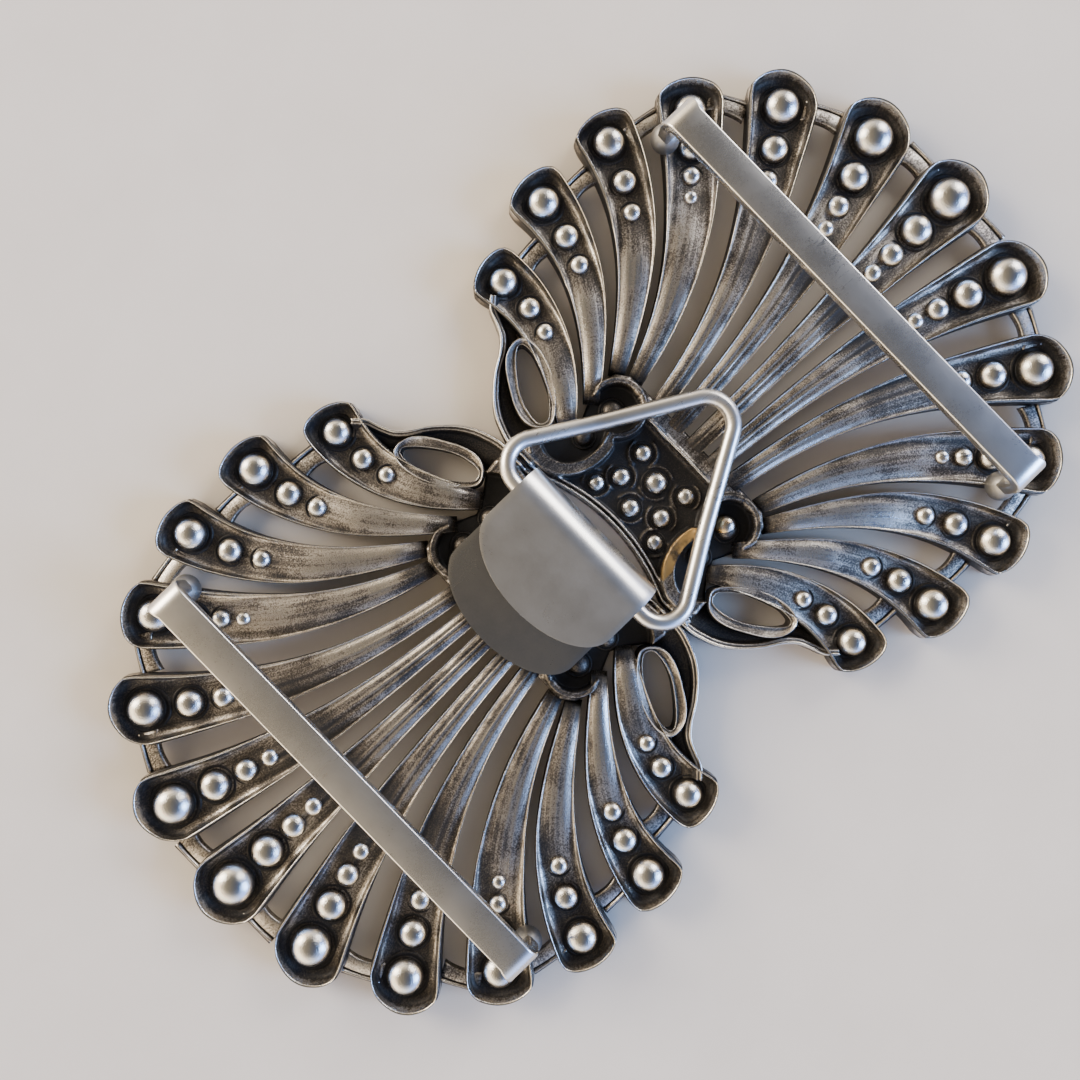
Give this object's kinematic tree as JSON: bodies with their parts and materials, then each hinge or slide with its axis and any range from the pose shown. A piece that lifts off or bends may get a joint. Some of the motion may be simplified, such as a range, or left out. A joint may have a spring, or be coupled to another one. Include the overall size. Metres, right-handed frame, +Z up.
{
  "type": "apron clasp",
  "caption": "Two pierced fan-shaped plates seen from the back, joined by a folded hook and a wire loop, with a flat strap bar on each plate.",
  "frame": {"origin": "centre of the outline in plan, on the surface that the clasp lies on", "axes": "+X along the clasp from the hook side to the loop side, +Y across it, +Z up from the surface to the strap bars, with the ornamental front down"},
  "size_m": [0.0922, 0.0542, 0.0082],
  "materials": {
    "casting": "silver-toned casting, blackened in its recesses and polished on its rims and beads",
    "strip": "satin plated strip and sheet",
    "wire": "satin plated wire"
  },
  "bodies": {
    "root": {"hook_side_plate": "casting", "loop_side_plate": "casting", "hook_side_bar": "strip", "loop_side_bar": "strip", "folded_hook": "strip", "wire_loop": "wire"}
  },
  "joints": []
}
